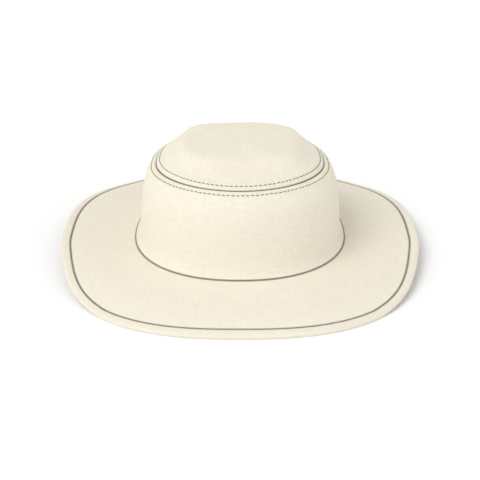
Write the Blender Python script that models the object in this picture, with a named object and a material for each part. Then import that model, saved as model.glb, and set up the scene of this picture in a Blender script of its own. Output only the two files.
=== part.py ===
"""Wide-brim sun hat, sewn from cotton canvas.

Metres, +Z up. The hat rests on the floor plane z = 0 by the front and back
of its bound edge. Its front faces -Y, and its widest place is over the X axis.

Each piece is a wall of cloth. At every compass angle its cut is a closed
loop of (radius, height) points, and the loops are skinned into one solid.
Every loop takes its places from the sizes below.
"""
import math

import bmesh
import bpy
from mathutils import Vector

# Cloth and gaps
CROWN_CLOTH = 0.0015
BRIM_CLOTH = 0.0018
BINDING_CLOTH = 0.0010
SEAM_GAP = 0.0003

# Brim, measured over the binding
HAT_HALF_WIDTH = 0.1565
HAT_HALF_LENGTH = 0.1625
HAT_SQUARENESS_FRONT = 2.5
HAT_SQUARENESS_BACK = 2.7
EDGE_SIDE_LIFT = 0.0105
EDGE_LIFT_STARTS = math.radians(50)
EDGE_LIFT_POWER = 1.3
BRIM_FALL_SIDE = math.radians(0)
BRIM_FALL_FRONT = math.radians(11)
BRIM_FALL_BACK = math.radians(11)
ROLL_STARTS = 0.55
ROLL_POWER = 2.2

# Join of crown and brim, on the top of the brim
JOIN_HALF_WIDTH = 0.0916
JOIN_HALF_LENGTH = 0.0998
JOIN_SQUARENESS = 2.18
JOIN_HEIGHT = 0.0150
JOIN_END_LIFT = 0.0036
COLLAR_HEIGHT = 0.0080

# Side band, measured on its outside
WALL_HALF_WIDTH = 0.0868
WALL_HALF_LENGTH = 0.0948
TIP_SEAM_HALF_WIDTH = 0.0723
TIP_SEAM_HALF_LENGTH = 0.0765
TIP_SEAM_SQUARENESS = 1.96
TIP_SEAM_RISE = 0.0674
TIP_SEAM_END_LIFT = 0.0058

# Crown tip
TOP_HALF_WIDTH = 0.0475
TOP_HALF_LENGTH = 0.0405
TOP_SQUARENESS = 4.0
TOP_RISE = 0.0873
TOP_CROWNING = 0.0020

# Binding, folded over the brim's cut edge
BINDING_WIDTH = 0.0080
FOLD_PRESSED_FLAT = 0.0005
FOLD_STEPS = 6

COMPASS_STEPS = 60
END_POWER = 1.4
SHARP_EDGE = math.radians(50)

# Side band sections, foot to tip seam. rise is a share of the height from
# the join to the tip seam, flare a share of what the join stands out past
# the wall, and taper a share of what the tip seam lies in from the wall.
BAND_SECTIONS = (
    {"rise": 0.000, "flare": 1.00, "taper": 0.00},
    {"rise": 0.030, "flare": 0.72, "taper": 0.00},
    {"rise": 0.075, "flare": 0.42, "taper": 0.00},
    {"rise": 0.135, "flare": 0.17, "taper": 0.00},
    {"rise": 0.220, "flare": 0.00, "taper": 0.01},
    {"rise": 0.380, "flare": 0.00, "taper": 0.06},
    {"rise": 0.540, "flare": 0.00, "taper": 0.12},
    {"rise": 0.680, "flare": 0.00, "taper": 0.20},
    {"rise": 0.790, "flare": 0.00, "taper": 0.31},
    {"rise": 0.875, "flare": 0.00, "taper": 0.47},
    {"rise": 0.945, "flare": 0.00, "taper": 0.70},
    {"rise": 1.000, "flare": 0.00, "taper": 1.00},
)

# Tip sections, tip seam to flat top. inward is a share of the way from the
# seam to the oval round the flat top, and rise a share of the height between.
TIP_SECTIONS = (
    {"inward": 0.00, "rise": 0.00},
    {"inward": 0.12, "rise": 0.13},
    {"inward": 0.40, "rise": 0.41},
    {"inward": 0.72, "rise": 0.73},
    {"inward": 0.93, "rise": 0.94},
    {"inward": 1.08, "rise": 1.01},
)

# Rings on the flat top, as shares of its outermost ring.
TOP_RINGS = (0.62, 0.30)

# Brim sections, as shares of the way from the join to the binding, and then
# as shares of the way under the binding to the cut edge.
BRIM_SHARES = (0.0, 0.20, 0.42, 0.62, 0.78, 0.90)
BOUND_SHARES = (0.0, 0.5, 1.0)


def oval(half_width, half_length, squareness, angle):
    """Radius at a compass angle of an oval, squarer than an ellipse above 2."""
    across = abs(math.cos(angle)) / half_width
    along = abs(math.sin(angle)) / half_length
    return (across ** squareness + along ** squareness) ** (-1 / squareness)


def blend(start, end, share):
    """Value a share of the way from start to end."""
    return start + (end - start) * share


def end_share(angle):
    """How far round from a side (0) to the front or back (1)."""
    return abs(math.sin(angle)) ** END_POWER


def offset(profile, distance):
    """A profile moved square to itself, to the right of its direction."""
    steps = [Vector(after) - Vector(before) for before, after in zip(profile, profile[1:])]
    squares = [Vector((step.y, -step.x)).normalized() for step in steps]
    moved = []
    for index, point in enumerate(profile):
        before = squares[max(index - 1, 0)]
        after = squares[min(index, len(squares) - 1)]
        middle = (before + after).normalized()
        moved.append(tuple(Vector(point) + middle * distance / middle.dot(before)))
    return moved


def moved_toward(point, target, distance):
    """A point moved a distance toward another."""
    return tuple(Vector(point) + (Vector(target) - Vector(point)).normalized() * distance)


def join_point(angle):
    """The join on the top of the brim: radius and height."""
    radius = oval(JOIN_HALF_WIDTH, JOIN_HALF_LENGTH, JOIN_SQUARENESS, angle)
    return radius, JOIN_HEIGHT + JOIN_END_LIFT * end_share(angle)


def tip_seam_point(angle):
    """The seam between side band and tip, on the outside: radius and height."""
    radius = oval(TIP_SEAM_HALF_WIDTH, TIP_SEAM_HALF_LENGTH, TIP_SEAM_SQUARENESS, angle)
    return radius, JOIN_HEIGHT + TIP_SEAM_RISE + TIP_SEAM_END_LIFT * end_share(angle)


def band_profile(angle, sections):
    """Outside of the side band, from its foot upward."""
    join_radius, join_height = join_point(angle)
    seam_radius, seam_height = tip_seam_point(angle)
    wall_radius = oval(WALL_HALF_WIDTH, WALL_HALF_LENGTH, JOIN_SQUARENESS, angle)
    points = []
    for section in sections:
        radius = wall_radius + (join_radius - wall_radius) * section["flare"]
        radius -= (wall_radius - seam_radius) * section["taper"]
        points.append((radius, blend(join_height + SEAM_GAP, seam_height, section["rise"])))
    return points


def tip_profile(angle):
    """Outside of the tip, from the tip seam to the innermost ring."""
    seam_radius, seam_height = tip_seam_point(angle)
    top_radius = oval(TOP_HALF_WIDTH, TOP_HALF_LENGTH, TOP_SQUARENESS, angle)
    points = []
    for section in TIP_SECTIONS:
        radius = blend(seam_radius, top_radius, section["inward"])
        points.append((radius, blend(seam_height, JOIN_HEIGHT + TOP_RISE, section["rise"])))
    edge_radius, edge_height = points[-1]
    for share in TOP_RINGS:
        points.append((edge_radius * share, edge_height + TOP_CROWNING * (1 - share ** 2)))
    return points


def moved_inward(profile, distance):
    """A crown profile moved in through the cloth, its foot kept level."""
    inside = offset(profile, -distance)
    (foot_radius, foot_height), (next_radius, next_height) = profile[:2]
    lean = (foot_radius - next_radius) / (next_height - foot_height)
    inside[0] = (foot_radius - distance * math.hypot(1, lean), foot_height)
    return inside


def crown_profiles(angle):
    """Outside and inside of the whole crown, from the foot to the top."""
    outside = band_profile(angle, BAND_SECTIONS) + tip_profile(angle)[1:]
    return outside, moved_inward(outside, CROWN_CLOTH)


def band_loop(angle):
    """Cut of the side band: up its outside and down its inside."""
    seam = len(BAND_SECTIONS) - 1
    sides = []
    for profile in crown_profiles(angle):
        top = moved_toward(profile[seam], profile[seam - 1], SEAM_GAP / 2)
        sides.append(profile[:seam] + [top])
    outside, inside = sides
    return outside + inside[::-1]


def tip_path(angle):
    """Cut of the tip: out along its inside and back along its outside."""
    seam = len(BAND_SECTIONS) - 1
    sides = []
    for profile in crown_profiles(angle):
        edge = moved_toward(profile[seam], profile[seam + 1], SEAM_GAP / 2)
        sides.append([edge] + profile[seam + 1:])
    outside, inside = sides
    return inside[::-1] + outside


def fold_radius():
    """From the middle of the brim's cut edge to the outside of the binding."""
    return BRIM_CLOTH / 2 + SEAM_GAP + BINDING_CLOTH


def hat_radius(angle):
    """Radius of the hat's outline, over the binding."""
    squareness = HAT_SQUARENESS_FRONT if math.sin(angle) < 0 else HAT_SQUARENESS_BACK
    return oval(HAT_HALF_WIDTH, HAT_HALF_LENGTH, squareness, angle)


def edge_height(angle):
    """Lowest place of the bound edge: on the floor at the front and back."""
    start = math.cos(EDGE_LIFT_STARTS)
    share = max(abs(math.cos(angle)) - start, 0.0) / (1 - start)
    return EDGE_SIDE_LIFT * share ** EDGE_LIFT_POWER


def brim_middle(angle):
    """Middle of the brim's cloth, from the join to its cut edge."""
    join_radius, join_height = join_point(angle)
    start_height = join_height - BRIM_CLOTH / 2
    edge_radius = hat_radius(angle) - fold_radius()
    cut_height = edge_height(angle) + fold_radius() - FOLD_PRESSED_FLAT
    reach = edge_radius - join_radius
    end_fall = BRIM_FALL_FRONT if math.sin(angle) < 0 else BRIM_FALL_BACK
    fall = math.tan(blend(BRIM_FALL_SIDE, end_fall, end_share(angle)))
    roll_drop = start_height - cut_height - fall * reach
    edge_slope = fall + roll_drop * ROLL_POWER / ((1 - ROLL_STARTS) * reach)
    binding_run = (BINDING_WIDTH - fold_radius()) * math.cos(math.atan(edge_slope))
    binding_share = 1 - binding_run / reach
    shares = [share * binding_share for share in BRIM_SHARES]
    shares += [blend(binding_share, 1.0, share) for share in BOUND_SHARES]
    points = []
    for share in shares:
        roll = max((share - ROLL_STARTS) / (1 - ROLL_STARTS), 0.0) ** ROLL_POWER
        height = start_height - fall * reach * share - roll_drop * roll
        points.append((join_radius + reach * share, height))
    return points


def collar_sections():
    """Side band sections as far up as the brim's turned-up collar goes."""
    top = COLLAR_HEIGHT / TIP_SEAM_RISE
    below = [section for section in BAND_SECTIONS if section["rise"] < top]
    last = below[-1]
    following = BAND_SECTIONS[len(below)]
    share = (top - last["rise"]) / (following["rise"] - last["rise"])
    return below + [{name: blend(last[name], following[name], share) for name in last}]


def brim_loop(angle):
    """Cut of the brim: in along its top, over the collar, out underneath."""
    middle = brim_middle(angle)
    top = offset(middle, -BRIM_CLOTH / 2)
    under = offset(middle, BRIM_CLOTH / 2)
    join_height = join_point(angle)[1]
    foot = band_profile(angle, collar_sections())
    outer = moved_inward(foot, CROWN_CLOTH + SEAM_GAP)
    inner = moved_inward(foot, CROWN_CLOTH + SEAM_GAP + BRIM_CLOTH)
    outer_corner = (outer[0][0], join_height)
    inner_corner = (inner[0][0], join_height - BRIM_CLOTH / 2)
    under_corner = (inner[0][0] + BRIM_CLOTH / 2, join_height - BRIM_CLOTH)
    turned_up = [outer_corner] + outer[1:] + inner[:0:-1] + [inner_corner, under_corner]
    return top[::-1] + turned_up + under


def binding_loop(angle):
    """Cut of the binding: a strip folded round the brim's cut edge."""
    bound = brim_middle(angle)[-len(BOUND_SHARES):]
    floor = edge_height(angle)
    outer = fold(bound, fold_radius())
    outer = [(radius, max(height, floor)) for radius, height in outer]
    return outer + fold(bound, fold_radius() - BINDING_CLOTH)[::-1]


def fold(bound, distance):
    """Points at a distance round the bound part of the brim, top to bottom."""
    edge = Vector(bound[-1])
    along = (edge - Vector(bound[-2])).normalized()
    square = Vector((-along.y, along.x))
    round_points = []
    for step in range(1, FOLD_STEPS):
        turn = math.pi * step / FOLD_STEPS
        round_points.append(tuple(edge + (square * math.cos(turn) + along * math.sin(turn)) * distance))
    return offset(bound, -distance) + round_points + offset(bound, distance)[::-1]


def skin(mesh, path, following, closed):
    """Faces between two paths with the same number of points."""
    count = len(path)
    for index in range(count if closed else count - 1):
        ahead = (index + 1) % count
        mesh.faces.new((path[index], following[index], following[ahead], path[ahead]))


def make_piece(name, path_at, material, pole_heights=None):
    """Skin the paths round the compass into one closed solid.

    Closed loops make a ring. Open paths are closed by a fan of faces at each
    end, to points on the axis at the two pole heights.
    """
    mesh = bmesh.new()
    paths = []
    for step in range(COMPASS_STEPS):
        angle = 2 * math.pi * step / COMPASS_STEPS
        spoke = Vector((math.cos(angle), math.sin(angle), 0.0))
        points = [spoke * radius + Vector((0.0, 0.0, height)) for radius, height in path_at(angle)]
        paths.append([mesh.verts.new(point) for point in points])
    pairs = list(zip(paths, paths[1:] + paths[:1]))
    for path, following in pairs:
        skin(mesh, path, following, closed=pole_heights is None)
    if pole_heights:
        for end, height in zip((0, -1), pole_heights):
            pole = mesh.verts.new((0.0, 0.0, height))
            for path, following in pairs:
                mesh.faces.new((path[end], following[end], pole))
    bmesh.ops.recalc_face_normals(mesh, faces=mesh.faces)
    data = bpy.data.meshes.new(name)
    mesh.to_mesh(data)
    mesh.free()
    data.materials.append(material)
    data.shade_smooth()
    data.set_sharp_from_angle(angle=SHARP_EDGE)
    piece = bpy.data.objects.new(name, data)
    bpy.context.scene.collection.objects.link(piece)
    return piece


def make_cloth(name, colour, roughness):
    """A plain woven cotton finish."""
    material = bpy.data.materials.new(name)
    material.use_nodes = True
    shader = material.node_tree.nodes["Principled BSDF"]
    shader.inputs["Base Color"].default_value = (*colour, 1.0)
    shader.inputs["Roughness"].default_value = roughness
    shader.inputs["Metallic"].default_value = 0.0
    return material


def make_hat():
    """The four sewn pieces, each with its own cloth."""
    top_height = JOIN_HEIGHT + TOP_RISE + TOP_CROWNING
    make_piece(
        "crown_tip",
        tip_path,
        make_cloth("crown_tip_canvas", (0.86, 0.79, 0.65), 0.90),
        pole_heights=(top_height - CROWN_CLOTH, top_height),
    )
    make_piece("crown_side_band", band_loop, make_cloth("side_band_canvas", (0.85, 0.78, 0.64), 0.90))
    make_piece("brim", brim_loop, make_cloth("brim_canvas", (0.86, 0.79, 0.65), 0.90))
    make_piece("brim_binding", binding_loop, make_cloth("binding_canvas", (0.84, 0.77, 0.63), 0.88))


for leftover in list(bpy.data.objects):
    bpy.data.objects.remove(leftover, do_unlink=True)
make_hat()
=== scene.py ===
# The looks of a sewn canvas sun hat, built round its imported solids.
# Metres, +Z up, the front faces -Y and the hat rests on the floor plane z = 0.
# Each cloth wall is rebuilt as a fine shell: a smooth profile at every compass
# angle, moved in and out by seams, stitches and the softness of the cloth.
# Profiles hold a row of (radius, height) points for each compass angle.

import math

import bmesh
import bpy
import numpy as np
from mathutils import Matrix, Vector


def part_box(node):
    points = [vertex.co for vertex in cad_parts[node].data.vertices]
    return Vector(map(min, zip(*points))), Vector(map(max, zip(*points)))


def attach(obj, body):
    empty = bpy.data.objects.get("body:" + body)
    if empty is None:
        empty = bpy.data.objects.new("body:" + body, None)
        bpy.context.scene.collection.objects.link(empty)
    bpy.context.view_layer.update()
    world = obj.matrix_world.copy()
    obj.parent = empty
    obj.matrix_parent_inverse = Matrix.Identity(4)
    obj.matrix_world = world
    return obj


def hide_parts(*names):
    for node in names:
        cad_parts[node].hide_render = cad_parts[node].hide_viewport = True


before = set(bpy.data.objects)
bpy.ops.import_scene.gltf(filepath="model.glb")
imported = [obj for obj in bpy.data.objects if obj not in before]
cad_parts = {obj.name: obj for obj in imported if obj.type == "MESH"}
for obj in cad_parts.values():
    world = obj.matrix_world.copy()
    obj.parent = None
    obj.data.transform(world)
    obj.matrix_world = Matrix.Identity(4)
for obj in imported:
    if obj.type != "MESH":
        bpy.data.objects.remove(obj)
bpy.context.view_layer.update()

band_low, band_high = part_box("crown_side_band")
tip_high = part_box("crown_tip")[1]
bound_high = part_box("brim_binding")[1]

# Cloth and seams
CROWN_CLOTH = 0.0015
BRIM_CLOTH = 0.0018
BINDING_CLOTH = 0.0010
SEAM_GAP = 0.0003

# Brim
HAT_HALF_WIDTH = bound_high.x
HAT_HALF_LENGTH = bound_high.y
HAT_SQUARENESS_FRONT = 2.5
HAT_SQUARENESS_BACK = 2.7
FRONT_SIDE_TRIM = 0.016
FRONT_SIDE_ANGLE = math.radians(22)
FRONT_SIDE_SPREAD = math.radians(15)
FRONT_SIDE_RISES = (0, 0.25)
EDGE_SIDE_LIFT = 0.0105
EDGE_LIFT_STARTS = math.radians(50)
EDGE_LIFT_POWER = 1.3
BRIM_FALL_END = math.radians(11)
ROLL_STARTS = 0.55
ROLL_POWER = 2.2

# Binding, folded over the brim's cut edge. Each leaf is thin where it is sewn
# down, with fine tucks, and rises to its full thickness between two distances
# from there. Tucks are the fewest and most in a turn. The brim's own cloth is
# pressed thinner as it goes under the leaf.
BINDING_WIDTH = 0.0080
FOLD_PRESSED_FLAT = 0.0005
LEAF_CORNER_TRIM = 0.17
LEAF_CORNER_ANGLE = math.radians(44)
LEAF_CORNER_SPREAD = math.radians(24)
LEAF_EDGE_TOP = 0.00062
LEAF_EDGE_UNDER = 0.00004
LEAF_RISES = (0.0002, 0.0040)
LEAF_TUCK = 0.00007
LEAF_TUCKS = (60, 96)
HEM_PRESS = 0.00010
HEM_PRESSES = (-0.0022, 0.0002)

# Join of crown and brim. The brim's allowance is turned up as a collar inside
# the band, round a heel whose points are out from the collar's inner face and
# up from the brim's underside. The band's foot is tucked in above the join.
JOIN_HALF_WIDTH = band_high.x
JOIN_HALF_LENGTH = band_high.y
JOIN_SQUARENESS = 2.18
JOIN_HEIGHT = band_low.z - SEAM_GAP
JOIN_END_LIFT = 0.0036
END_POWER = 1.4
COLLAR_START = 0.0012
COLLAR_HEIGHT = 0.0080
COLLAR_CORNER_INSET = 0.0001
HEEL_POINTS = ((0.0010, 0.00008), (-0.0002, 0.0006))
FOOT_TUCK = 0.0007
FOOT_TUCK_HEIGHT = 0.0013

# Side band and tip
WALL_HALF_WIDTH = 0.0868
WALL_HALF_LENGTH = 0.0948
TIP_SEAM_HALF_WIDTH = tip_high.x + SEAM_GAP / 2
TIP_SEAM_HALF_LENGTH = tip_high.y + SEAM_GAP / 2
TIP_SEAM_SQUARENESS = 1.96
TIP_SEAM_RISE = 0.0674
TIP_SEAM_FRONT_LIFT = 0.0058
TIP_SEAM_BACK_LIFT = 0.0036
TIP_SEAM_BACK_DROP = 0.0060
BACK_DROP_GROWS = (0.02, 0.75)
TOP_HALF_WIDTH = 0.0475
TOP_HALF_LENGTH = 0.0405
TOP_SQUARENESS = 4.0
TOP_RISE = 0.0873
TOP_CROWNING = 0.0020
HOLLOW_CENTRE = (0.0, 0.0, 0.05)

# Sections of the side band, foot to tip seam, and of the tip, seam to top,
# as shares of the sizes above
BAND_RISE = (0.0, 0.03, 0.075, 0.135, 0.22, 0.38, 0.54, 0.68, 0.79, 0.875, 0.945, 1.0)
BAND_FLARE = (1.0, 0.72, 0.42, 0.17, 0.0, 0.0, 0.0, 0.0, 0.0, 0.0, 0.0, 0.0)
BAND_TAPER = (0.0, 0.0, 0.0, 0.0, 0.01, 0.06, 0.12, 0.20, 0.31, 0.47, 0.70, 1.0)
TIP_INWARD = (0.12, 0.40, 0.72, 0.93, 1.08)
TIP_RISE = (0.13, 0.41, 0.73, 0.94, 1.01)
TOP_RINGS = (0.62, 0.30, 0.0)

# Softness of the cloth. Waves and wrinkles are the fewest and most in a turn,
# and the least wave is a share of the tallest. The tip's softness fades out
# between two distances from its pole.
BRIM_WAVE_HEIGHT = 0.00045
BRIM_WAVES = (3, 8)
BRIM_WRINKLE_HEIGHT = 0.00025
BRIM_WRINKLES = (7, 15)
EDGE_WAVE_HEIGHT = 0.00035
EDGE_WAVES = (3, 7)
CROWN_WAVE_HEIGHT = 0.00035
CROWN_WAVES = (2, 8)
CROWN_WRINKLE_HEIGHT = 0.00022
CROWN_WRINKLES = (5, 14)
LEAST_WAVE = 0.4
POLE_STILL = (0.0005, 0.0120)

# Seeds of the waves
BRIM_WAVE_SEED = 11
BRIM_WRINKLE_SEED = 12
EDGE_WAVE_SEED = 13
BAND_SEED = 21
BAND_PUCKER_SEED = 31
TIP_SEED = 41
TIP_PUCKER_SEED = 33
LEAF_SEED = 52

# Tip seam. The padding, the puckers and the allowance inside each rise and end
# between two distances from the seam. Pucker waves are the fewest and most in
# a turn.
GROOVE_DEPTH = 0.00085
GROOVE_WIDTH = 0.00062
PADDING_HEIGHT = 0.00042
PADDING_RISES = (0.0005, 0.0022)
PADDING_ENDS = (0.0070, 0.0096)
PUCKER_HEIGHT = 0.00014
PUCKER_WAVES = (44, 78)
PUCKERS_RISE = (0.0008, 0.0026)
PUCKERS_END = (0.0080, 0.0170)
ALLOWANCE_CLOTH = 0.0011
ALLOWANCE_RISES = (-0.0006, 0.0010)
ALLOWANCE_ENDS = (0.0078, 0.0085)

# Topstitching. It draws in the cloth by a share of its pull all along the row
# and by a share more at each hole.
STITCH_OFFSET = 0.0048
STITCH_PITCH = 0.0040
STITCH_LENGTH = 0.0031
STITCH_ARCH = 0.00045
STITCH_SINK = 0.00030
STITCH_PULL = 0.00022
STITCH_PULL_WIDTH = 0.0011
PULL_ALONG = 0.65
PULL_AT_HOLES = 0.6
THREAD_RADIUS = 0.00036
THREAD_THINNEST = 0.02

# Shadow in the seams: how far it spreads. Beside the binding it is full for a
# short way over the brim, and spreads from there.
BAND_FOOT_SHADOW = 0.00050
BAND_SEAM_SHADOW = 0.00058
TIP_SEAM_SHADOW = 0.00060
BRIM_JOIN_SHADOW = 0.00055
HEM_SHADOW = 0.00070
HEM_SHADOW_FULL = 0.00060
LEAF_SHADOW = 0.00050
LEAF_SHADOW_DEPTH = 0.95

# Fineness of the shells. Pairs are a distance from an edge or seam and the
# number of rows up to it. For the leaves the distance is a share of their width.
COMPASS_STEPS = 720
BRIM_STEPS = 640
PROFILE_SAMPLES = 240
FOOT_ROWS = ((0.0014, 7), (0.0050, 6), (0.0120, 6))
SEAM_ROWS = ((0.0014, 10), (0.0075, 16), (0.0120, 6))
BAND_MIDDLE_ROWS = 17
TIP_MIDDLE_ROWS = 34
INNER_FOOT_ROWS = ((0.0030, 4), (0.0120, 4))
INNER_SEAM_ROWS = ((0.0020, 4), (0.0078, 5), (0.0092, 5), (0.0120, 2))
INNER_BAND_MIDDLE_ROWS = 12
INNER_TIP_MIDDLE_ROWS = 24
POLE_CLEARANCE = 0.0012
BRIM_START = 0.0002
BRIM_JOIN_ROWS = ((0.0030, 7), (0.0080, 5))
BRIM_MIDDLE_ROWS = 22
HEM_START = -0.0040
HEM_ROWS = ((0.0020, 16),)
BOUND_ROWS = 4
CUT_EDGE_ROWS = 5
COLLAR_ROWS = 7
COLLAR_TOP_ROWS = 4
LEAF_ROWS = ((0.17, 4), (1, 9))
LEAF_EDGE_ROWS = 3
FOLD_ROWS = 10
STITCH_RINGS = 9
THREAD_SIDES = 8
FACING_STEP = 0.0009

# Canvas: colours of its thick and thin yarns, and of the painted shade in its seams
CREAM_PALE = (0.885, 0.832, 0.708, 1.0)
CREAM_DEEP = (0.800, 0.740, 0.610, 1.0)
BIAS_PALE = (0.875, 0.820, 0.695, 1.0)
BIAS_DEEP = (0.795, 0.733, 0.603, 1.0)
PAINTED_SEAM_SHADE_TONE = (0.055, 0.046, 0.038, 1.0)
PAINTED_SEAM_SHADE_STRENGTH = 0.93
CANVAS_ROUGHNESS = 0.92
CANVAS_SPECULAR = 0.22
SHEEN = 0.12
SHEEN_ROUGHNESS = 0.5
SHEEN_TINT = (1.0, 0.96, 0.88, 1.0)

# Weave. Streaks are the slubs' noise along and across the yarns, and the
# colours change between two values of it.
YARNS_PER_METRE = 1300.0
SLUB_STREAKS = ((1250, 70, 1), (70, 1250, 1))
SLUB_COLOURS = (0.34, 0.66)
SLUB_RELIEF = 0.9
WEAVE_BUMP = 0.45
WEAVE_DEPTH = 0.00025

# Thread
TAUPE = (0.16, 0.14, 0.12, 1.0)
THREAD_PALER = 1.35
THREAD_MOTTLE = 900.0
THREAD_ROUGHNESS = 0.75
THREAD_SPECULAR = 0.3

# Studio. The walls turn into the ceiling between two heights of the direction
# looked in, and each light has its place, spread and strength.
WALL_BRIGHTNESS = 0.93
CEILING_BRIGHTNESS = 0.63
WALLS_END = 0.05
CEILING_STARTS = 0.70
FLOOR_HALF_WIDTH = 30.0
FLOOR_TONES = ((0.95, 0.95, 0.95, 1.0), (0.97, 0.97, 0.97, 1.0))
FLOOR_MOTTLE = 3.0
FLOOR_ROUGHNESS = 0.8
FLOOR_SPECULAR = 0.2
WINDOW_LIGHT = ((-1.20, -0.95, 1.85), math.radians(38), 1.43)
ROOM_FILL = ((1.5, -0.9, 0.9), math.radians(60), 0.35)

# Camera, as the drawing sees the hat
CAMERA_ELEVATION = math.radians(26)
CAMERA_DISTANCE = 1.1505
CAMERA_LENS = 97.5
AIM_BELOW_JOIN = 0.0079
CAMERA_AIM = (0.0, 0.0, JOIN_HEIGHT - AIM_BELOW_JOIN)


def oval(half_width, half_length, squareness, angle):
    """Radius at a compass angle of an oval, squarer than an ellipse above 2."""
    across = np.abs(np.cos(angle)) / half_width
    along = np.abs(np.sin(angle)) / half_length
    return (across ** squareness + along ** squareness) ** (-1 / squareness)


def blend(start, end, share):
    """Value a share of the way from start to end."""
    return start + (end - start) * share


def ease(start, end, at):
    """Smooth step from 0 at start to 1 at end."""
    share = np.clip((at - start) / (end - start), 0.0, 1.0)
    return share * share * (3 - 2 * share)


def hump(at, centre, width):
    """Bell of height 1 about a centre."""
    return np.exp(-((at - centre) / width) ** 2)


def unit(vectors):
    """Vectors brought to length 1."""
    return vectors / np.linalg.norm(vectors, axis=-1, keepdims=True)


def compass(steps):
    """Angles of even steps round the hat."""
    return np.arange(steps) * 2 * math.pi / steps


def ripple(angle, span, seed):
    """A wavy value round the hat, about -1 to 1, of a span of waves in a turn."""
    chance = np.random.default_rng(seed)
    fewest, most = span
    waves = np.arange(fewest, most + 1)
    heights = chance.uniform(LEAST_WAVE, 1.0, len(waves))
    starts = chance.uniform(0.0, 2 * math.pi, len(waves))
    total = sum(h * np.cos(w * angle + s) for h, w, s in zip(heights, waves, starts))
    return total / math.sqrt((heights ** 2).sum())


def smooth_through(knots, values, at):
    """Values along their last axis at new places, on a curve with no overshoot."""
    steps = np.diff(knots)
    slopes = np.diff(values, axis=-1) / steps
    before, after = slopes[..., :-1], slopes[..., 1:]
    alike = before * after > 0
    near = 2 * steps[1:] + steps[:-1]
    far = steps[1:] + 2 * steps[:-1]
    safe_before = np.where(alike, before, 1.0)
    safe_after = np.where(alike, after, 1.0)
    inner = np.where(alike, (near + far) / (near / safe_before + far / safe_after), 0.0)
    tangents = np.concatenate([slopes[..., :1], inner, slopes[..., -1:]], axis=-1)
    index = np.clip(np.searchsorted(knots, at, side="right") - 1, 0, len(knots) - 2)
    share = (at - knots[index]) / steps[index]
    start, end = values[..., index], values[..., index + 1]
    start_pull = tangents[..., index] * steps[index]
    end_pull = tangents[..., index + 1] * steps[index]
    return (
        start * (2 * share ** 3 - 3 * share ** 2 + 1)
        + start_pull * (share ** 3 - 2 * share ** 2 + share)
        + end * (3 * share ** 2 - 2 * share ** 3)
        + end_pull * (share ** 3 - share ** 2)
    )


def along_profile(profile):
    """Distance along each profile from its first point."""
    steps = np.linalg.norm(np.diff(profile, axis=1), axis=-1)
    return np.concatenate([np.zeros((len(profile), 1)), np.cumsum(steps, axis=1)], axis=1)


def at_places(places, profile, wanted):
    """Points of each profile at the wanted places, between the places of its own points."""
    return np.stack([
        np.stack([np.interp(at, known, points[:, axis]) for axis in range(2)], axis=-1)
        for at, known, points in zip(wanted, places, profile)
    ])


def at_distances(profile, distances):
    """Points of each profile at the given distances along it."""
    wanted = np.broadcast_to(distances, (len(profile), np.shape(distances)[-1]))
    return at_places(along_profile(profile), profile, wanted)


def offset(profile, distance):
    """Profiles moved square to themselves, to the right of their direction."""
    along = np.gradient(profile, axis=1)
    square = unit(np.stack([along[..., 1], -along[..., 0]], axis=-1))
    return profile + square * np.asarray(distance)[..., None]


def rounded_end(start, end, count):
    """Half-round turn from one point of a profile to another, clockwise."""
    middle = (start + end) / 2
    arm = start - middle
    side = np.stack([arm[..., 1], -arm[..., 0]], axis=-1)
    turn = np.linspace(0, math.pi, count + 2)[1:-1]
    across, out = np.cos(turn)[None, :, None], np.sin(turn)[None, :, None]
    return middle[:, None] + arm[:, None] * across + side[:, None] * out


def spin(profile, angles):
    """Radius and height at each compass angle, as points in space."""
    across = np.cos(angles)[:, None] * profile[..., 0]
    along = np.sin(angles)[:, None] * profile[..., 0]
    return np.stack([across, along, profile[..., 1]], axis=-1)


def fine_rows(start, stops):
    """Rising distances from a start through stops, each with its count of rows."""
    rows = [np.array([start])]
    for stop, count in stops:
        rows.append(np.linspace(rows[-1][-1], stop, count + 1)[1:])
    return np.concatenate(rows)


def mixed_rows(start_rows, end_rows, middle_count, lengths):
    """Distances along each profile: fine rows kept at both ends, even ones between."""
    start = np.broadcast_to(start_rows, (len(lengths), len(start_rows)))
    end = lengths[:, None] - np.asarray(end_rows)[None]
    share = np.linspace(0, 1, middle_count + 2)[1:-1]
    middle = blend(start[:, -1:], end[:, :1], share[None])
    return np.concatenate([start, middle, end], axis=1)


def end_share(angle):
    """How far round from a side (0) to the front or back (1)."""
    return np.abs(np.sin(angle)) ** END_POWER


def towards_front(angle):
    """Compass angle from the nearer side of the hat, growing towards the front."""
    return np.arctan2(-np.sin(angle), np.abs(np.cos(angle)))


def join_radius(angle):
    """Radius of the line where crown and brim meet."""
    return oval(JOIN_HALF_WIDTH, JOIN_HALF_LENGTH, JOIN_SQUARENESS, angle)


def join_height(angle):
    """Height of the line where crown and brim meet."""
    return JOIN_HEIGHT + JOIN_END_LIFT * end_share(angle)


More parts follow.
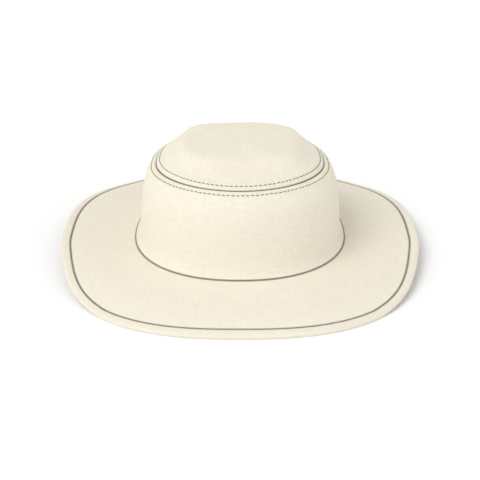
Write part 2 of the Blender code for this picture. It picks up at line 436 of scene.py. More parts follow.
def crown_outside(angles):
    """Smooth outer face of the crown, foot to pole, and how far up it the tip seam lies."""
    foot_r = join_radius(angles)[:, None]
    foot_h = join_height(angles)[:, None]
    seam_r = oval(TIP_SEAM_HALF_WIDTH, TIP_SEAM_HALF_LENGTH, TIP_SEAM_SQUARENESS, angles)[:, None]
    end_lift = np.where(np.sin(angles) < 0, TIP_SEAM_FRONT_LIFT, TIP_SEAM_BACK_LIFT)
    seam_h = (JOIN_HEIGHT + TIP_SEAM_RISE + end_lift * end_share(angles))[:, None]
    wall_r = oval(WALL_HALF_WIDTH, WALL_HALF_LENGTH, JOIN_SQUARENESS, angles)[:, None]
    top_r = oval(TOP_HALF_WIDTH, TOP_HALF_LENGTH, TOP_SQUARENESS, angles)[:, None]
    flare, taper, rise = (np.array(column)[None] for column in (BAND_FLARE, BAND_TAPER, BAND_RISE))
    band_r = wall_r + (foot_r - wall_r) * flare - (wall_r - seam_r) * taper
    band_h = blend(foot_h + SEAM_GAP, seam_h, rise)
    tip_r = blend(seam_r, top_r, np.array(TIP_INWARD)[None])
    tip_h = blend(seam_h, JOIN_HEIGHT + TOP_RISE, np.array(TIP_RISE)[None])
    share = np.array(TOP_RINGS)[None]
    ring_r = tip_r[:, -1:] * share
    ring_h = tip_h[:, -1:] + TOP_CROWNING * (1 - share ** 2)
    ring_h[:, -1] = JOIN_HEIGHT + TOP_RISE + TOP_CROWNING
    radii = np.concatenate([band_r, tip_r, ring_r], axis=1)
    heights = np.concatenate([band_h, tip_h, ring_h], axis=1)
    sections = np.stack([radii, heights], axis=1)
    mean_section = np.stack([radii.mean(axis=0), heights.mean(axis=0)], axis=-1)
    knots = along_profile(mean_section[None])[0]
    seam_knot = knots[len(BAND_RISE) - 1]
    at = np.sort(np.append(np.linspace(0, knots[-1], PROFILE_SAMPLES), seam_knot))
    curve = np.moveaxis(smooth_through(knots, sections, at), 1, 2)
    seam_at = along_profile(curve)[:, np.searchsorted(at, seam_knot)]
    return curve, seam_at - TIP_SEAM_BACK_DROP * ease(*BACK_DROP_GROWS, np.sin(angles))


def fold_radius():
    """From the middle of the brim's cloth to the outside of the binding's fold."""
    return BRIM_CLOTH / 2 + SEAM_GAP + BINDING_CLOTH


def side_lift(angle):
    """0 where the edge lies on the floor, rising to 1 at the sides."""
    lowest = math.cos(EDGE_LIFT_STARTS)
    return np.clip((np.abs(np.cos(angle)) - lowest) / (1 - lowest), 0, 1)


def edge_height(angle):
    """Height of the underside of the bound edge."""
    return EDGE_SIDE_LIFT * side_lift(angle) ** EDGE_LIFT_POWER


def cut_height(angle):
    """Height of the middle of the brim's cut edge."""
    return edge_height(angle) + fold_radius() - FOLD_PRESSED_FLAT


def edge_radius(angle):
    """Radius of the brim's cut edge, inside the binding's fold."""
    squareness = np.where(np.sin(angle) < 0, HAT_SQUARENESS_FRONT, HAT_SQUARENESS_BACK)
    turned = towards_front(angle)
    trimmed = hump(turned, FRONT_SIDE_ANGLE, FRONT_SIDE_SPREAD) * ease(*FRONT_SIDE_RISES, turned)
    outline = oval(HAT_HALF_WIDTH, HAT_HALF_LENGTH, squareness, angle)
    return outline * (1 - FRONT_SIDE_TRIM * trimmed) - fold_radius()


def brim_reach(angle):
    """How far out the brim's cloth goes, from the join to its cut edge."""
    return edge_radius(angle) - join_radius(angle)


def brim_fall(angle):
    """Slope of the brim where it leaves the crown."""
    return np.tan(BRIM_FALL_END * end_share(angle))


def brim_roll(angle):
    """How far below its straight slope the brim's edge rolls."""
    level = join_height(angle) - BRIM_CLOTH / 2 - cut_height(angle)
    return level - brim_fall(angle) * brim_reach(angle)


def leaf_share(angle):
    """Where the binding's leaf begins, as a share of the brim's reach."""
    reach = brim_reach(angle)
    slope = brim_fall(angle) + brim_roll(angle) * ROLL_POWER / ((1 - ROLL_STARTS) * reach)
    corner = hump(towards_front(angle), LEAF_CORNER_ANGLE, LEAF_CORNER_SPREAD)
    width = (BINDING_WIDTH - fold_radius()) * (1 - LEAF_CORNER_TRIM * corner)
    return 1 - width * np.cos(np.arctan(slope)) / reach


def brim_softness(angle, share):
    """Slight waves of the brim, none at the join and none where the edge rests."""
    inner = np.sin(math.pi * np.clip(share, 0, 1)) ** 2
    waves = BRIM_WAVE_HEIGHT * ripple(angle, BRIM_WAVES, BRIM_WAVE_SEED) * inner
    waves = waves + BRIM_WRINKLE_HEIGHT * ripple(angle, BRIM_WRINKLES, BRIM_WRINKLE_SEED) * inner * share
    edge_waves = EDGE_WAVE_HEIGHT * (1 + ripple(angle, EDGE_WAVES, EDGE_WAVE_SEED) / 2)
    return waves + edge_waves * side_lift(angle) * share ** 3


def brim_middle(angles, shares):
    """Middle of the brim's cloth, from the join (0) to its cut edge (1)."""
    reach = brim_reach(angles)[:, None]
    fall = brim_fall(angles)[:, None]
    roll = brim_roll(angles)[:, None]
    rolled = np.clip((shares - ROLL_STARTS) / (1 - ROLL_STARTS), 0, None) ** ROLL_POWER
    radius = join_radius(angles)[:, None] + reach * shares
    start_h = join_height(angles)[:, None] - BRIM_CLOTH / 2
    height = start_h - fall * reach * shares - roll * rolled
    return np.stack([radius, height + brim_softness(angles[:, None], shares)], axis=-1)


def crown_softness(angle, share, seed):
    """Slight unevenness of a crown panel, none along its two edges."""
    inner = np.sin(math.pi * share) ** 2
    upper = np.sin(2 * math.pi * share) * inner
    waves = CROWN_WAVE_HEIGHT * ripple(angle, CROWN_WAVES, seed) * inner
    return waves + CROWN_WRINKLE_HEIGHT * ripple(angle, CROWN_WRINKLES, seed + 1) * upper


def round_distances(points):
    """Distance round a closed row at each of its points, and back at the first."""
    closed = np.concatenate([points, points[:1]])
    return np.concatenate([[0], np.cumsum(np.linalg.norm(np.diff(closed, axis=0), axis=1))])


def stitch_count(points):
    """Stitches that a closed row holds."""
    return round(round_distances(points)[-1] / STITCH_PITCH)


def stitches_passed(curve, distances, angles):
    """Stitches passed at each angle, in a row at given distances up the crown."""
    points = spin(at_distances(curve, distances[:, None]), angles)[:, 0]
    travelled = round_distances(points)
    return travelled[:-1] / travelled[-1] * stitch_count(points)


def seam_relief(from_seam, angles, passed, seed):
    """How the topstitched seam lifts and draws in the cloth beside it."""
    holes = 0.5 + 0.5 * np.cos(2 * math.pi * passed)[:, None]
    groove = -GROOVE_DEPTH * hump(from_seam, 0, GROOVE_WIDTH)
    padded = PADDING_HEIGHT * ease(*PADDING_RISES, from_seam) * (1 - ease(*PADDING_ENDS, from_seam))
    row = hump(from_seam, STITCH_OFFSET, STITCH_PULL_WIDTH)
    drawn = -STITCH_PULL * row * (PULL_ALONG + PULL_AT_HOLES * holes)
    puckers = PUCKER_HEIGHT * ripple(angles, PUCKER_WAVES, seed)[:, None]
    beside = ease(*PUCKERS_RISE, from_seam) * (1 - ease(*PUCKERS_END, from_seam))
    return groove + padded + drawn + puckers * beside


def allowance_inside(from_seam):
    """Extra cloth inside, where the seam's allowance is turned back."""
    return ALLOWANCE_CLOTH * ease(*ALLOWANCE_RISES, from_seam) * (1 - ease(*ALLOWANCE_ENDS, from_seam))


def round_turn(angles, profile):
    """Distance round the hat and along the cloth, for the weave of an upright strip."""
    radius = profile[..., 0].mean(axis=1)
    ends = np.append(radius, radius[0])
    turn = np.append(angles, 2 * math.pi)
    arc = np.concatenate([[0], np.cumsum((ends[1:] + ends[:-1]) / 2 * np.diff(turn))])
    travelled = along_profile(np.concatenate([profile, profile[:, :1]], axis=1))
    travelled = np.concatenate([travelled, travelled[:1]])
    return np.stack([np.broadcast_to(arc[:, None], travelled.shape), travelled], axis=-1)


def laid_flat(points):
    """Places in the weave of a panel cut flat and seen from above."""
    flat = points[..., :2]
    flat = np.concatenate([flat, flat[:1]])
    return np.concatenate([flat, flat[:, :1]], axis=1)


def add_object(name, data):
    """An object for a mesh, lamp or camera, put in the scene."""
    item = bpy.data.objects.new(name, data)
    bpy.context.scene.collection.objects.link(item)
    return item


def signed_volume(points, quads):
    """Volume inside the quads, negative where they face inwards."""
    a, b, c, d = (points[quads[:, corner]] for corner in range(4))
    return float((np.cross(c - a, d - b) * (a + b + c + d)).sum() / 24)


def add_cloth(name, points, faces, places, shade):
    """One smooth piece, with each corner's place in the weave and its seam shadow."""
    mesh = bpy.data.meshes.new(name)
    mesh.from_pydata(points.tolist(), [], [face for part in faces for face in part.tolist()])
    weave_places = mesh.uv_layers.new(name="cloth")
    corners = np.concatenate([part.reshape(-1, 2) for part in places])
    weave_places.data.foreach_set("uv", corners.astype(np.float32).ravel())
    # Painted seam shade at each point, which the canvas material reads to darken its colour
    painted_seam_shade = mesh.attributes.new("painted_seam_shade", "FLOAT", "POINT")
    painted_seam_shade.data.foreach_set("value", shade.astype(np.float32))
    quads = np.concatenate([part for part in faces if part.shape[1] == 4])
    if signed_volume(points, quads) < 0:
        mesh.flip_normals()
    mesh.shade_smooth()
    mesh.update()
    return add_object(name, mesh)


def grid_quads(grid_places, turn, rows, strips, first):
    """Faces of a grid that closes round the hat, and the weave at their corners."""
    steps = np.meshgrid(np.arange(turn), np.arange(strips), indexing="ij")
    here, row = (part.ravel() for part in steps)
    corners = ((here, row), (here + 1, row), (here + 1, row + 1), (here, row + 1))
    faces = [first + (angle % turn) * rows + at % rows for angle, at in corners]
    places = [grid_places[angle, at] for angle, at in corners]
    return np.stack(faces, axis=1), np.stack(places, axis=1)


def ring_of_cloth(name, points, grid_places, shade):
    """A closed wall of cloth, from a loop of points at every compass angle."""
    turn, rows = points.shape[:2]
    faces, places = grid_quads(grid_places, turn, rows, rows, 0)
    return add_cloth(name, points.reshape(-1, 3), [faces], [places], shade.ravel())


def dome_of_cloth(name, walls, wall_places, shades, poles):
    """A domed panel, from its outer and inner face and the pole that closes each."""
    turn = len(walls[0])
    here = np.arange(turn)
    ahead = (here + 1) % turn
    points, shade, quads, quad_places, fans, fan_places, edges = [], [], [], [], [], [], []
    first = 0
    for wall, grid_places, wall_shade, pole, order in zip(walls, wall_places, shades, poles, (1, -1)):
        rows = wall.shape[1]
        faces, places = grid_quads(grid_places, turn, rows, rows - 1, first)
        quads.append(faces[:, ::order])
        quad_places.append(places[:, ::order])
        rim = first + rows - 1
        top = first + turn * rows
        fan = [rim + here * rows, rim + ahead * rows, np.full(turn, top)]
        top_place = np.broadcast_to(np.array(pole[:2]), (turn, 2))
        places = [grid_places[here, rows - 1], grid_places[ahead, rows - 1], top_place]
        fans.append(np.stack(fan, axis=1)[:, ::order])
        fan_places.append(np.stack(places, axis=1)[:, ::order])
        edges.append((first + here * rows, first + ahead * rows))
        points += [wall.reshape(-1, 3), np.array([pole])]
        shade += [wall_shade.ravel(), np.zeros(1)]
        first = top + 1
    (outer, outer_ahead), (inner, inner_ahead) = edges
    edge = np.stack([outer_ahead, outer, inner, inner_ahead], axis=1)
    corners = ((0, ahead), (0, here), (1, here), (1, ahead))
    edge_places = np.stack([wall_places[wall][angle, 0] for wall, angle in corners], axis=1)
    return add_cloth(
        name,
        np.concatenate(points),
        quads + [edge] + fans,
        quad_places + [edge_places] + fan_places,
        np.concatenate(shade),
    )


def side_band(angles):
    """The crown's side wall, with its outer and inner face and their distances from the seam."""
    curve, seam_at = crown_outside(angles)
    lengths = seam_at - SEAM_GAP / 2
    passed = stitches_passed(curve, seam_at - STITCH_OFFSET, angles)
    floor = (join_height(angles) + SEAM_GAP)[:, None]
    rows = mixed_rows(fine_rows(0, FOOT_ROWS), fine_rows(0, SEAM_ROWS)[::-1], BAND_MIDDLE_ROWS, lengths)
    from_seam = lengths[:, None] + SEAM_GAP / 2 - rows
    soft = crown_softness(angles[:, None], rows / lengths[:, None], BAND_SEED)
    relief = seam_relief(from_seam, angles, passed, BAND_PUCKER_SEED)
    outside = offset(at_distances(curve, rows), relief + soft)
    outside[..., 0] -= FOOT_TUCK * (1 - ease(0, FOOT_TUCK_HEIGHT, rows))
    outside[..., 1] = np.maximum(outside[..., 1], floor)
    inner_foot = fine_rows(0, INNER_FOOT_ROWS)
    inner_seam = fine_rows(0, INNER_SEAM_ROWS)[::-1]
    inner_rows = mixed_rows(inner_foot, inner_seam, INNER_BAND_MIDDLE_ROWS, lengths)
    inner_from_seam = lengths[:, None] + SEAM_GAP / 2 - inner_rows
    inner_soft = crown_softness(angles[:, None], inner_rows / lengths[:, None], BAND_SEED)
    depth = CROWN_CLOTH + allowance_inside(inner_from_seam) - inner_soft
    inside = offset(at_distances(curve, inner_rows), -depth)
    inside[..., 1] = np.maximum(inside[..., 1], floor)
    loop = np.concatenate([outside, inside[:, ::-1]], axis=1)
    shade = np.zeros(loop.shape[:2])
    seam_shade = hump(from_seam, 0, BAND_SEAM_SHADOW)
    shade[:, :rows.shape[1]] = np.maximum(seam_shade, hump(rows, 0, BAND_FOOT_SHADOW))
    piece = ring_of_cloth("hat_side_band", spin(loop, angles), round_turn(angles, loop), shade)
    return piece, (outside[:, ::-1], from_seam[:, ::-1]), (inside[:, ::-1], inner_from_seam[:, ::-1])


def crown_tip(angles):
    """The crown's top panel, with its outer and inner face and their distances from the seam."""
    curve, seam_at = crown_outside(angles)
    lengths = along_profile(curve)[:, -1] - seam_at
    passed = stitches_passed(curve, seam_at + STITCH_OFFSET, angles)
    faces = []
    for seam_rows, middle_rows in ((SEAM_ROWS, TIP_MIDDLE_ROWS), (INNER_SEAM_ROWS, INNER_TIP_MIDDLE_ROWS)):
        rows = mixed_rows(SEAM_GAP / 2 + fine_rows(0, seam_rows), [POLE_CLEARANCE], middle_rows, lengths)
        soft = crown_softness(angles[:, None], rows / lengths[:, None], TIP_SEED)
        soft = soft * ease(*POLE_STILL, lengths[:, None] - rows)
        faces.append((at_distances(curve, seam_at[:, None] + rows), rows, soft))
    (outer_base, outer_rows, outer_soft), (inner_base, inner_rows, inner_soft) = faces
    outside = offset(outer_base, seam_relief(outer_rows, angles, passed, TIP_PUCKER_SEED) + outer_soft)
    inside = offset(inner_base, -(CROWN_CLOTH + allowance_inside(inner_rows) - inner_soft))
    walls = [spin(face, angles) for face in (outside, inside)]
    shades = [hump(outer_rows, 0, TIP_SEAM_SHADOW), np.zeros(inner_rows.shape)]
    poles = [(0.0, 0.0, float(face[:, -1, 1].mean())) for face in (outside, inside)]
    piece = dome_of_cloth("hat_crown_tip", walls, [laid_flat(wall) for wall in walls], shades, poles)
    return piece, (outside, outer_rows), (inside, inner_rows)


def collar_faces(angles):
    """The brim's allowance turned up inside the side band: outer and inner face."""
    curve = crown_outside(angles)[0]
    rows = fine_rows(COLLAR_START, ((COLLAR_HEIGHT, COLLAR_ROWS),))
    base = at_distances(curve, rows[None])
    near = CROWN_CLOTH + SEAM_GAP
    return [offset(base, np.full(base.shape[:2], -depth)) for depth in (near, near + BRIM_CLOTH)]


def brim(angles):
    """The brim's one panel with its collar turned up inside the crown."""
    reach = brim_reach(angles)[:, None]
    hem_share = leaf_share(angles)[:, None]
    near = fine_rows(BRIM_START, BRIM_JOIN_ROWS)[None] / reach
    hem = hem_share + fine_rows(HEM_START, HEM_ROWS)[None] / reach
    span = blend(near[:, -1:], hem[:, :1], np.linspace(0, 1, BRIM_MIDDLE_ROWS + 2)[None, 1:-1])
    bound = blend(hem[:, -1:], 1.0, np.linspace(0, 1, BOUND_ROWS + 1)[None, 1:])
    shares = np.concatenate([near, span, hem, bound], axis=1)
    middle = brim_middle(angles, shares)
    from_hem = (shares - hem_share) * reach
    half_cloth = BRIM_CLOTH / 2 - HEM_PRESS * ease(*HEM_PRESSES, from_hem)
    top = offset(middle, -half_cloth)
    under = offset(middle, half_cloth)
    collar_out, collar_in = collar_faces(angles)
    corner = np.stack([collar_out[:, :1, 0] - COLLAR_CORNER_INSET, top[:, :1, 1]], axis=-1)
    heel = [np.stack([collar_in[:, 0, 0] + out, under[:, 0, 1] + up], axis=-1) for out, up in HEEL_POINTS]
    cut_edge = rounded_end(top[:, -1], under[:, -1], CUT_EDGE_ROWS)
    collar_top = rounded_end(collar_in[:, -1], collar_out[:, -1], COLLAR_TOP_ROWS)
    topside = [collar_out[:, ::-1], corner, top, cut_edge]
    underside = [under[:, ::-1], np.stack(heel, axis=1), collar_in, collar_top]
    points = spin(np.concatenate(topside + underside, axis=1), angles)
    shade = np.zeros(points.shape[:2])
    first = collar_out.shape[1] + 1
    join_shade = hump(shares * reach, 0, BRIM_JOIN_SHADOW)
    hem_shade = hump(np.clip(from_hem + HEM_SHADOW_FULL, None, 0), 0, HEM_SHADOW)
    shade[:, first:first + shares.shape[1]] = np.maximum(join_shade, hem_shade)
    return ring_of_cloth("hat_brim", points, laid_flat(points), shade)


def folded_over(middle, distance):
    """A face of the binding: out over the brim, round its cut edge and back under it."""
    top = offset(middle, -distance)
    under = offset(middle, distance)
    fold = rounded_end(top[:, -1], under[:, -1], FOLD_ROWS)
    return np.concatenate([top, fold, under[:, ::-1]], axis=1)


def brim_binding(angles):
    """The strip folded over the brim's edge, its leaves pressed to the cloth."""
    reach = brim_reach(angles)[:, None]
    leaf_run = (1 - leaf_share(angles))[:, None] * reach
    from_leaf = leaf_run * fine_rows(0, LEAF_ROWS)[None]
    middle = brim_middle(angles, 1 - (leaf_run - from_leaf) / reach)
    risen = ease(*LEAF_RISES, from_leaf)
    tuck = LEAF_TUCK * ripple(angles, LEAF_TUCKS, LEAF_SEED)[:, None]
    outer = blend(BRIM_CLOTH / 2 + LEAF_EDGE_TOP, fold_radius(), risen) + tuck * (1 - risen)
    inner = blend(BRIM_CLOTH / 2 + LEAF_EDGE_UNDER, fold_radius() - BINDING_CLOTH, risen)
    outside = folded_over(middle, outer)
    inside = folded_over(middle, inner)[:, ::-1]
    resting = edge_height(angles)[:, None] + brim_softness(angles[:, None], np.ones((1, 1)))
    outside[..., 1] = np.maximum(outside[..., 1], resting)
    under_edge = rounded_end(outside[:, -1], inside[:, 0], LEAF_EDGE_ROWS)
    top_edge = rounded_end(inside[:, -1], outside[:, 0], LEAF_EDGE_ROWS)
    loop = np.concatenate([outside, under_edge, inside, top_edge], axis=1)
    straight = round_turn(angles, loop)
    around, along = straight[..., 0], straight[..., 1]
    bias = np.stack([around + along, along - around], axis=-1) / math.sqrt(2)
    travelled = along_profile(outside)
    from_edge = np.minimum(travelled, travelled[:, -1:] - travelled)
    shade = np.zeros(loop.shape[:2])
    shade[:, :outside.shape[1]] = LEAF_SHADOW_DEPTH * hump(from_edge, 0, LEAF_SHADOW)
    return ring_of_cloth("hat_brim_binding", spin(loop, angles), bias, shade)


def stitch_line(angles, face, side):
    """Where the stitches lie on a face of the crown, and the way out of its cloth.

    The side is 1 on the outside of the crown and -1 inside it.
    """
    profile, from_seam = face
    beside = STITCH_OFFSET + np.array([-FACING_STEP, 0.0, FACING_STEP])
    wanted = np.broadcast_to(beside, (len(angles), 3))
    points = spin(at_places(from_seam, profile, wanted), angles)
    line = points[:, 1]
    along = np.roll(line, -1, axis=0) - np.roll(line, 1, axis=0)
    outward = unit(np.cross(along, points[:, 2] - points[:, 0]))
    away = np.sign(((line - np.array(HOLLOW_CENTRE)) * outward).sum(axis=1))[:, None]
    return line, outward * away * side


def round_points(travelled, row, at):
    """Points of a closed row at distances round it."""
    closed = np.concatenate([row, row[:1]])
    at = at % travelled[-1]
    return np.stack([np.interp(at, travelled, closed[:, axis]) for axis in range(3)], axis=-1)


def stitch_faces(count):
    """Faces of a row of stitches, each a tube of rings closed at both ends."""
    last_ring = (STITCH_RINGS - 1) * THREAD_SIDES
    stitch = []
    for ring in range(0, last_ring, THREAD_SIDES):
        for side in range(THREAD_SIDES):
            a = ring + side
            b = ring + (side + 1) % THREAD_SIDES
            stitch.append((a, b, b + THREAD_SIDES, a + THREAD_SIDES))
    stitch.append(tuple(range(THREAD_SIDES))[::-1])
    stitch.append(tuple(range(last_ring, last_ring + THREAD_SIDES)))
    size = STITCH_RINGS * THREAD_SIDES
    faces = []
    for first in range(0, count * size, size):
        faces += [[first + corner for corner in face] for face in stitch]
    return faces


def stitch_row(name, line, outward, count):
    """One row of topstitching: separate short stitches whose ends dip into the cloth."""
    travelled = round_distances(line)
    steps = np.linspace(-0.5, 0.5, STITCH_RINGS)
    pitch = travelled[-1] / count
    at = (np.arange(count)[:, None] + 0.5) * pitch + steps * STITCH_LENGTH
    out = unit(round_points(travelled, outward, at))
    arch = STITCH_ARCH * (1 - (2 * steps) ** 4) - STITCH_SINK
    centre = round_points(travelled, line, at) + out * arch[:, None]
    along = unit(np.gradient(centre, axis=1))
    side = unit(np.cross(along, out))
    up = np.cross(side, along)
    radius = THREAD_RADIUS * np.sqrt(np.clip(1 - (2 * steps) ** 6, THREAD_THINNEST, 1))
    turn = compass(THREAD_SIDES)[:, None]
    spokes = side[:, :, None] * np.cos(turn) + up[:, :, None] * np.sin(turn)
    points = centre[:, :, None] + radius[:, None, None] * spokes
    mesh = bpy.data.meshes.new(name)
    mesh.from_pydata(points.reshape(-1, 3).tolist(), [], stitch_faces(count))
    mesh.shade_smooth()
    facing = bmesh.new()
    facing.from_mesh(mesh)
    bmesh.ops.recalc_face_normals(facing, faces=facing.faces)
    facing.to_mesh(mesh)
    facing.free()
    return add_object(name, mesh)


def group(name, inputs, outputs):
    """An empty shader node group; inputs are (kind, name, value), outputs (kind, name)."""
    tree = bpy.data.node_groups.new(name, "ShaderNodeTree")
    for kind, label, value in inputs:
        socket = tree.interface.new_socket(label, in_out="INPUT", socket_type=kind)
        if value is not None:
            socket.default_value = value
    for kind, label in outputs:
        tree.interface.new_socket(label, in_out="OUTPUT", socket_type=kind)
    return tree, tree.nodes.new("NodeGroupInput"), tree.nodes.new("NodeGroupOutput")


def maths(tree, operation, *values):
    """A Math node fed with sockets or plain numbers; gives its output."""
    node = tree.nodes.new("ShaderNodeMath")
    node.operation = operation
    for index, value in enumerate(values):
        if isinstance(value, (int, float)):
            node.inputs[index].default_value = value
        else:
            tree.links.new(value, node.inputs[index])
    return node.outputs[0]


def mottle(tree, place, scale):
    """Soft noise of a scale, at a place or, with none given, over the whole object."""
    node = tree.nodes.new("ShaderNodeTexNoise")
    node.inputs["Scale"].default_value = scale
    if place is not None:
        tree.links.new(place, node.inputs["Vector"])
    return node.outputs["Fac"]


def blended(tree, factor, first, second):
    """Colour from first to second by a socket; each a colour or a socket."""
    node = tree.nodes.new("ShaderNodeMix")
    node.data_type = "RGBA"
    tree.links.new(factor, node.inputs["Factor"])
    for label, value in (("A", first), ("B", second)):
        socket = next(s for s in node.inputs if s.name == label and s.type == "RGBA")
        if isinstance(value, tuple):
            socket.default_value = value
        else:
            tree.links.new(value, socket)
    return next(s for s in node.outputs if s.type == "RGBA")


def plain_weave():
    """Height of the yarns of a plain weave, over cloth measured in metres."""
    tree, given, out = group(
        "plain weave",
        [("NodeSocketVector", "Cloth", None), ("NodeSocketFloat", "Yarns per metre", YARNS_PER_METRE)],
        [("NodeSocketFloat", "Height")],
    )
    split = tree.nodes.new("ShaderNodeSeparateXYZ")
    tree.links.new(given.outputs["Cloth"], split.inputs[0])
    scale = maths(tree, "MULTIPLY", given.outputs["Yarns per metre"], math.pi)
    waves = [maths(tree, "SINE", maths(tree, "MULTIPLY", split.outputs[axis], scale)) for axis in (0, 1)]
    over = maths(tree, "MULTIPLY", maths(tree, "SIGN", maths(tree, "MULTIPLY", waves[0], waves[1])), 0.5)
    warp = maths(tree, "MULTIPLY", maths(tree, "ABSOLUTE", waves[0]), maths(tree, "ADD", over, 0.5))
    weft = maths(tree, "MULTIPLY", maths(tree, "ABSOLUTE", waves[1]), maths(tree, "SUBTRACT", 0.5, over))
    tree.links.new(maths(tree, "MAXIMUM", warp, weft), out.inputs["Height"])
    return tree


def yarn_slubs():
    """Thicker and thinner yarns, as streaks both ways of the cloth, about 0.5."""
    tree, given, out = group(
        "yarn slubs", [("NodeSocketVector", "Cloth", None)], [("NodeSocketFloat", "Streaks")]
    )
    streaks = []
    for stretch in SLUB_STREAKS:
        spread = tree.nodes.new("ShaderNodeVectorMath")
        spread.operation = "MULTIPLY"
        spread.inputs[1].default_value = stretch
        tree.links.new(given.outputs["Cloth"], spread.inputs[0])
        streaks.append(mottle(tree, spread.outputs[0], 1.0))
    mean = maths(tree, "MULTIPLY", maths(tree, "ADD", *streaks), 0.5)
    tree.links.new(mean, out.inputs["Streaks"])
    return tree


def use_group(tree, shared, cloth):
    """A shared node group put to use in a material, fed with the cloth's own places."""
    node = tree.nodes.new("ShaderNodeGroup")
    node.node_tree = shared
    tree.links.new(cloth.outputs["UV"], node.inputs["Cloth"])
    return node.outputs[0]


def plain_finish(name, roughness, specular):
    """A material with its roughness and specular level, its nodes and its shader."""
    material = bpy.data.materials.new(name)
    material.use_nodes = True
    shader = material.node_tree.nodes["Principled BSDF"]
    shader.inputs["Roughness"].default_value = roughness
    shader.inputs["Specular IOR Level"].default_value = specular
    return material, material.node_tree, shader


def canvas(name, pale, deep, weave, slubs):
    """Undyed cotton canvas: fine plain weave, slight slubs, with painted shade darkening its seams."""
    material, tree, shader = plain_finish(name, CANVAS_ROUGHNESS, CANVAS_SPECULAR)
    shader.inputs["Sheen Weight"].default_value = SHEEN
    shader.inputs["Sheen Roughness"].default_value = SHEEN_ROUGHNESS
    shader.inputs["Sheen Tint"].default_value = SHEEN_TINT
    cloth = tree.nodes.new("ShaderNodeUVMap")
    cloth.uv_map = "cloth"
    yarns = use_group(tree, weave, cloth)
    streaks = use_group(tree, slubs, cloth)
    spread = tree.nodes.new("ShaderNodeMapRange")
    spread.inputs["From Min"].default_value = SLUB_COLOURS[0]
    spread.inputs["From Max"].default_value = SLUB_COLOURS[1]
    tree.links.new(streaks, spread.inputs["Value"])
    body = blended(tree, spread.outputs["Result"], deep, pale)
    # Painted shade: the seam shadow mask darkens the colour along the seams, the join and the binding's
    # edges
    painted_seam_shade = tree.nodes.new("ShaderNodeAttribute")
    painted_seam_shade.attribute_name = "painted_seam_shade"
    depth = maths(tree, "MULTIPLY", painted_seam_shade.outputs["Fac"], PAINTED_SEAM_SHADE_STRENGTH)
    tree.links.new(blended(tree, depth, body, PAINTED_SEAM_SHADE_TONE), shader.inputs["Base Color"])
    height = maths(tree, "ADD", yarns, maths(tree, "MULTIPLY", streaks, SLUB_RELIEF))
    bump = tree.nodes.new("ShaderNodeBump")
    bump.inputs["Strength"].default_value = WEAVE_BUMP
    bump.inputs["Distance"].default_value = WEAVE_DEPTH
    tree.links.new(height, bump.inputs["Height"])
    tree.links.new(bump.outputs["Normal"], shader.inputs["Normal"])
    return material


def thread(name, tone):
    """Spun sewing thread, matt, with a faint mottle."""
    material, tree, shader = plain_finish(name, THREAD_ROUGHNESS, THREAD_SPECULAR)
    place = tree.nodes.new("ShaderNodeTexCoord")
    paler = tuple(min(part * THREAD_PALER, 1.0) for part in tone[:3]) + (1.0,)
    spun = blended(tree, mottle(tree, place.outputs["Object"], THREAD_MOTTLE), tone, paler)
    tree.links.new(spun, shader.inputs["Base Color"])
    return material


def floor_plane():
    """A wide pale floor under the hat."""
    half = FLOOR_HALF_WIDTH
    mesh = bpy.data.meshes.new("pale_floor")
    corners = [(-half, -half, 0), (half, -half, 0), (half, half, 0), (-half, half, 0)]
    mesh.from_pydata(corners, [], [(0, 1, 2, 3)])
    material, tree, shader = plain_finish("pale_studio_floor", FLOOR_ROUGHNESS, FLOOR_SPECULAR)
    tone = blended(tree, mottle(tree, None, FLOOR_MOTTLE), *FLOOR_TONES)
    tree.links.new(tone, shader.inputs["Base Color"])
    mesh.materials.append(material)
    return add_object("pale_floor", mesh)


def aim_at(item, target):
    """Turn a lamp or camera so that it looks at a point."""
    item.rotation_euler = (Vector(target) - item.location).to_track_quat("-Z", "Y").to_euler()


def soft_light(name, place, spread, strength):
    """Even light from one side of the room, soft by its spread of directions."""
    lamp = bpy.data.lights.new(name, "SUN")
    lamp.angle = spread
    lamp.energy = strength
    light = add_object(name, lamp)
    light.location = place
    aim_at(light, HOLLOW_CENTRE)


def studio_room():
    """White studio walls all round, under a dimmer ceiling."""
    world = bpy.data.worlds.new("studio_white")
    world.use_nodes = True
    tree = world.node_tree
    direction = tree.nodes.new("ShaderNodeTexCoord")
    split = tree.nodes.new("ShaderNodeSeparateXYZ")
    tree.links.new(direction.outputs["Generated"], split.inputs[0])
    dimmer = tree.nodes.new("ShaderNodeMapRange")
    dimmer.interpolation_type = "SMOOTHSTEP"
    dimmer.inputs["From Min"].default_value = WALLS_END
    dimmer.inputs["From Max"].default_value = CEILING_STARTS
    dimmer.inputs["To Min"].default_value = WALL_BRIGHTNESS
    dimmer.inputs["To Max"].default_value = CEILING_BRIGHTNESS
    tree.links.new(split.outputs["Z"], dimmer.inputs["Value"])
    tree.links.new(dimmer.outputs["Result"], tree.nodes["Background"].inputs["Strength"])
    tree.nodes["Background"].inputs["Color"].default_value = (1.0, 1.0, 1.0, 1.0)
    return world


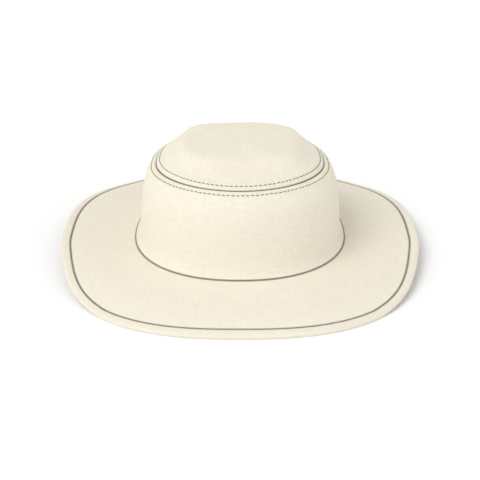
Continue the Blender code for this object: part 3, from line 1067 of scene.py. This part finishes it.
crown_angles = compass(COMPASS_STEPS)
brim_angles = compass(BRIM_STEPS)
band, band_outside, band_inside = side_band(crown_angles)
tip, tip_outside, tip_inside = crown_tip(crown_angles)
brim_panel = brim(brim_angles)
binding = brim_binding(crown_angles)

weave = plain_weave()
slubs = yarn_slubs()
cloth_pieces = (
    (tip, "crown_tip", "crown_tip_canvas", "cream_canvas_tip", CREAM_PALE, CREAM_DEEP),
    (band, "crown_side_band", "side_band_canvas", "cream_canvas_band", CREAM_PALE, CREAM_DEEP),
    (brim_panel, "brim", "brim_canvas", "cream_canvas_brim", CREAM_PALE, CREAM_DEEP),
    (binding, "brim_binding", "binding_canvas", "cream_canvas_bias", BIAS_PALE, BIAS_DEEP),
)
for piece, node, slot, finish, pale, deep in cloth_pieces:
    piece.data.materials.append(canvas(finish, pale, deep, weave, slubs))
    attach(piece, "root")
    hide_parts(node)

taupe_thread = thread("taupe_thread", TAUPE)
stitching = (
    ("tip_topstitching", tip_outside, "tip_underside_stitching", tip_inside),
    ("band_topstitching", band_outside, "band_underside_stitching", band_inside),
)
for outer_name, outside, inner_name, inside in stitching:
    outer_line, outward = stitch_line(crown_angles, outside, 1)
    inner_line, inward = stitch_line(crown_angles, inside, -1)
    count = stitch_count(outer_line)
    for name, line, way_out in ((outer_name, outer_line, outward), (inner_name, inner_line, inward)):
        row = stitch_row(name, line, way_out, count)
        row.data.materials.append(taupe_thread)
        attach(row, "root")

floor_plane()

bpy.context.scene.world = studio_room()
soft_light("window_light", *WINDOW_LIGHT)
soft_light("room_fill", *ROOM_FILL)

lens = bpy.data.cameras.new("drawing_view")
lens.lens = CAMERA_LENS
camera = add_object("drawing_view", lens)
camera.location = (
    CAMERA_AIM[0],
    CAMERA_AIM[1] - CAMERA_DISTANCE * math.cos(CAMERA_ELEVATION),
    CAMERA_AIM[2] + CAMERA_DISTANCE * math.sin(CAMERA_ELEVATION),
)
aim_at(camera, CAMERA_AIM)
bpy.context.scene.camera = camera
bpy.context.scene.view_settings.view_transform = "Standard"
